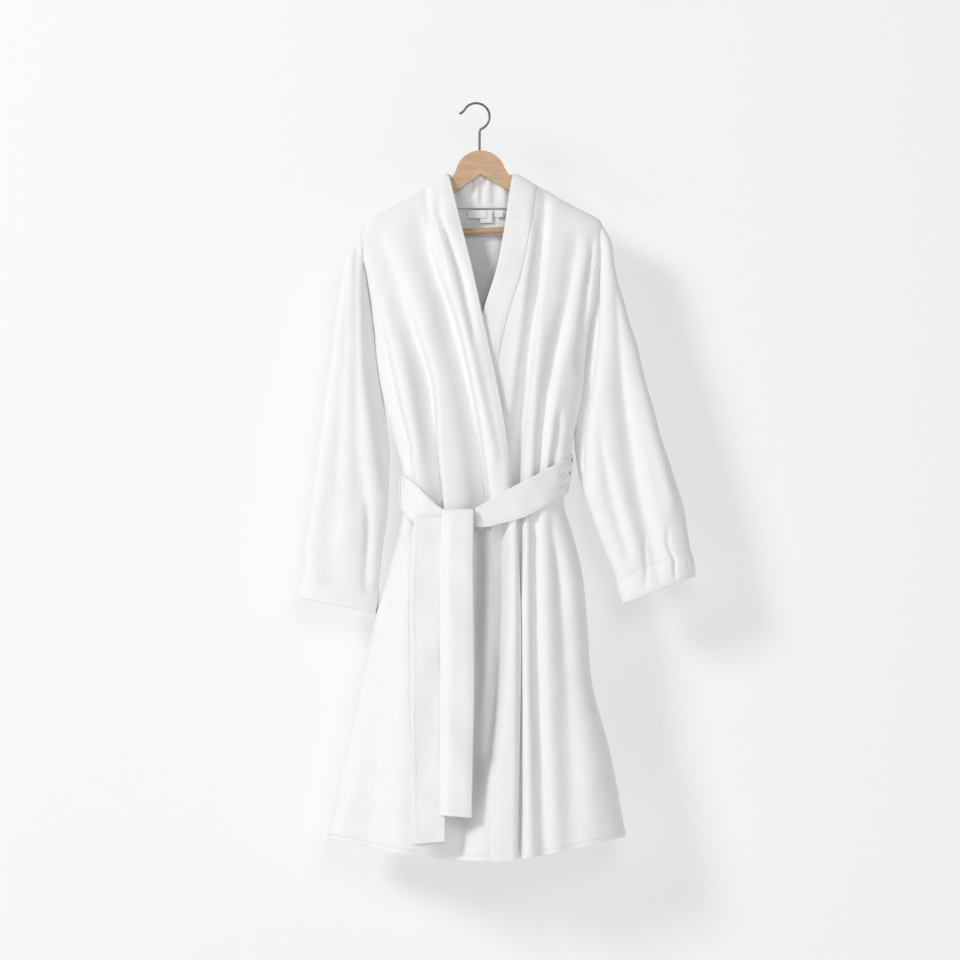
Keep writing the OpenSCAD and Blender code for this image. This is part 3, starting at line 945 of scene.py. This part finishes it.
def belt_relief(v, turns):
    """Outward relief of the belt: creases at the wearer's left side, soft waves elsewhere."""
    degrees = np.degrees(turns)[None, :] + 0 * v[:, None]
    v = v[:, None] + 0 * degrees
    right = np.exp(-((degrees - 372) / 14.0) ** 2)
    creases = 2.2 * np.sin(v * 17 + degrees / 16.0) + 1.2 * np.sin(v * 29 - degrees / 9.0)
    sag = 0.9 * np.sin(degrees / 7.0 + 2.2 * v) * np.exp(-((degrees - 270) / 80.0) ** 2)
    soft = 0.5 * np.sin(degrees / 5.0 - 3.0 * v) + 0.4 * np.sin(degrees / 3.1 + 5.0 * v)
    edge = -1.3 * (np.abs(2 * v - 1) ** 8)
    return right * creases + sag + soft + edge


def make_belt():
    base, outward, v, turns = belt_strip()
    relief = belt_relief(v, turns)
    points = base + outward * (5.0 + relief)[..., None]
    obj = cloth("belt", points, 4.0, BELT, outward)
    with_stitches(obj, [thread_row(points[r], outward[r], 2.15) for r in (1, 15)])
    attach(obj, "robe", "belt_terry", "belt_wrap")


TAIL_REST = [(-1330, -101.5), (-1100, -88), (-900, -77), (-740, -67.5), (-640, -63)]


def tail_y(z):
    """Where the tails lie in front of the skirt."""
    return smooth_curve(TAIL_REST, z)


def ripple(s, v, seed, size):
    """Slight waves along a belt tail, a fixed sum of seven."""
    rng = np.random.default_rng(seed)
    total = 0 * s * v
    for _ in range(7):
        k, m = rng.uniform(2, 9), rng.normal(0, 2.0)
        total = total + np.sin(k * s * 6.28 + m * v + rng.uniform(0, 6.28)) / k
    return total * size


def front_row(points, lift=2.3):
    """A thread row on the front of a belt tail."""
    return thread_row(points, np.tile(FORWARD, (len(points), 1)), lift)


def make_front_tail():
    """The upper tail: it comes up behind the belt, folds over its own top and hangs down."""
    rows = np.linspace(-746, -709, 8)
    roll = np.radians(np.linspace(0, 180, 12))[1:-1]
    down = heights(-709, -1239, 4.0)
    v = np.linspace(0, 1, 19)[None, :]
    inner, outer = 9.0, 17.5
    radius = (outer - inner) / 2
    path = [(inner, z - 5) for z in rows]
    path += [((inner + outer) / 2 - radius * math.cos(a), -714 + radius * 1.15 * math.sin(a))
             for a in roll]
    path += [(outer, z - 5) for z in down]
    out = np.array([p[0] for p in path])[:, None]
    z = np.array([p[1] for p in path])[:, None]
    s = np.clip((-709 - z) / 530, 0, 1)
    low = smooth_curve([(-1330, -70), (-1244, -69), (-1000, -67), (-800, -67), (-700, -64)], z)
    high = smooth_curve([(-1330, -15), (-1238, -15), (-1000, -11), (-800, -13), (-700, -12)], z)
    x = mix(low, high, v)
    sway = 3.2 * np.sin(2.2 * v + 0.6) * smoothstep(0.05, 0.4, s)
    sway = sway + ripple(s, v, 4, 2.4) * smoothstep(0.0, 0.2, s)
    soft = 1.4 * (1 - np.abs(2 * v - 1) ** 6)
    flush = 6.5 * (1 - smoothstep(0.0, 0.30, v)) * smoothstep(0.0, 0.06, s)
    y = tail_y(z) - out - sway - soft + flush
    points = np.stack([x, y, z - 4 * (v - 0.5) * smoothstep(0.9, 1.0, s)], -1)
    obj = cloth("tail_front", points, 4.0, BELT)
    with_stitches(obj, [front_row(part) for part in (points[20:, 2], points[20:, 16],
                                                     points[-3, 1:-1])])
    attach_across(obj, ("robe", "tail_front"), (-40, -79, -735), (-40, -79, -790),
                  "belt_terry", "belt_tail_front")


def make_rear_tail():
    """The lower tail, which hangs straight down from under the knot."""
    z = heights(-722, -1288, 4.0)[:, None]
    v = np.linspace(0, 1, 19)[None, :]
    s = np.clip((-722 - z) / 566, 0, 1)
    low = smooth_curve([(-1330, -115), (-1240, -116), (-1000, -119), (-800, -118),
                        (-700, -110)], z)
    high = smooth_curve([(-1330, -62), (-1000, -62), (-800, -60), (-700, -56)], z)
    x = mix(low, high, v)
    sway = 2.2 * np.sin(2.6 * v + 3.4 * s) + ripple(s, v, 9, 2.2)
    y = tail_y(z) - 4.0 - sway * smoothstep(0, 0.1, s) - 2.0 * smoothstep(0, 0.06, s)
    points = np.stack([x, y, z - 5 * (1 - v) * smoothstep(0.9, 1, s)], -1)
    obj = cloth("tail_rear", points, 4.0, BELT)
    with_stitches(obj, [front_row(points[8:, c]) for c in (2, 16)])
    attach_across(obj, ("robe", "tail_rear"), (-84, -72, -735), (-84, -72, -790),
                  "belt_terry", "belt_tail_rear")


def make_knot():
    """The belt's half knot, a soft roll under the folded tail."""
    a = np.linspace(0, 2 * math.pi, 40, endpoint=False)[None, :]
    s = np.linspace(0, 1, 40)[:, None]
    x = mix(-64, -20, s) + 0 * a
    swell = 1 - np.abs(2 * s - 1) ** 4 * 0.75
    wrap = 1 + 0.10 * np.sin(3 * a + 5 * s) + 0.05 * np.sin(7 * a - 4 * s)
    z = -729 + 17.0 * swell * wrap * np.sin(a) + 5 * (s - 0.5)
    y = tail_y(-728.0) - 5.0 - 4.5 * swell * wrap * np.cos(a)
    points = np.stack([x, y, z], -1)
    rings, count = points.shape[:2]
    faces = [(r * count + c, r * count + (c + 1) % count, (r + 1) * count + (c + 1) % count,
              (r + 1) * count + c) for r in range(rings - 1) for c in range(count)]
    faces += [tuple(range(count)), tuple(range((rings - 1) * count, rings * count))]
    obj = make_object("belt_knot_cloth", points.reshape(-1, 3), faces, BELT)
    attach(obj, "robe", "belt_terry", "belt_knot")


# ---------------------------------------------------------------- small pieces

def node_box(node):
    """A CAD node's box corners in millimetres."""
    low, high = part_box(node)
    return np.array(low) / MM, np.array(high) / MM


def ribbon(name, path, normals, width_dir, width, thickness, material):
    """A flat tape along a path; every argument is in millimetres."""
    path = np.asarray(path, float)
    across = np.linspace(-0.5, 0.5, 5)[None, :, None] * width * np.asarray(width_dir, float)
    points = path[:, None, :] + across
    outward = np.asarray(normals, float)[:, None, :] + 0 * points
    return cloth(name, points, thickness, material, outward)


def make_belt_loop(name, node, material):
    """A tape over the belt at a side seam, sewn above and below it."""
    low, high = node_box(node)
    side = 1 if high[0] > 0 else -1
    z = np.linspace(high[2], low[2], 40)
    s = (z - low[2]) / (high[2] - low[2])
    rise = np.minimum(1, np.minimum(s, 1 - s) / 0.10)
    lean = robe_point(np.array([0.0 if side > 0 else math.pi]), z)[0][:, 0]
    x = lean + side * (0.8 + 8.0 * smoothstep(0, 1, rise))
    path = np.stack([x, 0 * z, z], -1)
    obj = ribbon(name, path, np.tile([side, 0, 0.0], (40, 1)), (0, 1, 0), 9.0, 1.8, material)
    attach(obj, "robe", "tape", node)


def make_hanging_loop():
    """A tape loop sewn at both ends to the outside of the back neck."""
    low, high = node_box("hanging_loop")
    middle, half = (low[0] + high[0]) / 2, (high[0] - low[0]) / 2 - 3
    top, drop = high[2], high[2] - low[2] - 3
    a = np.linspace(0, math.pi, 48)
    x = middle - half * signed_pow(np.cos(a), 0.7)
    z = top - drop * np.sin(a) ** 0.8
    y = high[1] + 0.3 + 1.5 * np.sin(a)
    path = np.stack([x, y, z], -1)
    tangent = np.gradient(path, axis=0)
    tangent /= np.linalg.norm(tangent, axis=1, keepdims=True)
    side = np.cross(tangent, [0, 1.0, 0])
    across = np.linspace(-0.5, 0.5, 5)[None, :, None] * 6.0 * side[:, None, :]
    obj = cloth("hanging_tape", path[:, None, :] + across, 1.5, LINING)
    attach(obj, "loop", "tape", "hanging_loop")


def make_label(name, node, wave):
    """A blank woven label, sewn along its top edge."""
    low, high = node_box(node)
    x = np.linspace(low[0], high[0], 18)[None, :]
    z = np.linspace(high[2], low[2], 14)[:, None]
    s = (high[2] - z) / (high[2] - low[2])
    y = (low[1] + high[1]) / 2 + wave * s * np.sin(x / 7.0) - 0.9 * s**2 + 0 * x
    points = np.stack([x + 0 * z, y, z + 0 * x], -1)
    obj = cloth(name, points, 0.5, LABEL)
    attach(obj, "labels", "label", node)


def make_pocket(name, node, turn_low, turn_high):
    """A flat pocket bag just inside the front, between two angles of the robe's loop."""
    z = heights(-770, -950, 4.0)
    points, outward = panel(
        z, lambda h: math.radians(turn_low) + 0 * h, lambda h: math.radians(turn_high) + 0 * h, 24,
        lambda x, h: right_relief(x, h) - 9.0)
    obj = cloth(name, points, 2.0, LINING, outward)
    attach(obj, "robe", "lining", node)


def finish_hard_parts():
    """Wood and metal for the parts that keep their CAD meshes."""
    for node, material, slot in (
            ("hanger_body", BEECH, "beech"), ("trouser_bar", BEECH, "beech"),
            ("hook", STEEL, "steel_wire"), ("hook_nut", STEEL, "steel_wire"),
            ("bar_pins", STEEL, "steel_wire")):
        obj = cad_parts[node]
        for held in obj.material_slots:
            held.material = material
        if not obj.material_slots:
            obj.data.materials.append(material)


make_back()
make_right_front()
make_left_front()
make_left_band()
make_right_band()
make_neck_band()
make_sleeve("sleeve_right", RIGHT_SLEEVE, RIGHT_SLEEVE_FOLDS, [], 21, -1, "right_sleeve")
make_sleeve("sleeve_left", LEFT_SLEEVE, LEFT_SLEEVE_FOLDS, SLEEVE_BACK_FOLDS, 22, 1,
            "left_sleeve")
make_cuff("cuff_right", RIGHT_CUFF, "right_arm", "right_cuff", RIGHT_SLEEVE_FOLDS, 0.5)
make_cuff("cuff_left", LEFT_CUFF, "left_arm", "left_cuff", LEFT_SLEEVE_FOLDS, 1.5)
make_belt()
make_knot()
make_rear_tail()
make_front_tail()
make_belt_loop("loop_right", "right_belt_loop", BELT)
make_belt_loop("loop_left", "left_belt_loop", BELT)
make_hanging_loop()
make_label("label_main", "main_label", 0.5)
make_label("label_care", "care_label", 0.6)
make_label("label_size", "size_tag", 0.3)
make_pocket("pocket_right", "right_pocket", 132, 168)
make_pocket("pocket_left", "left_pocket", 12, 46)
finish_hard_parts()
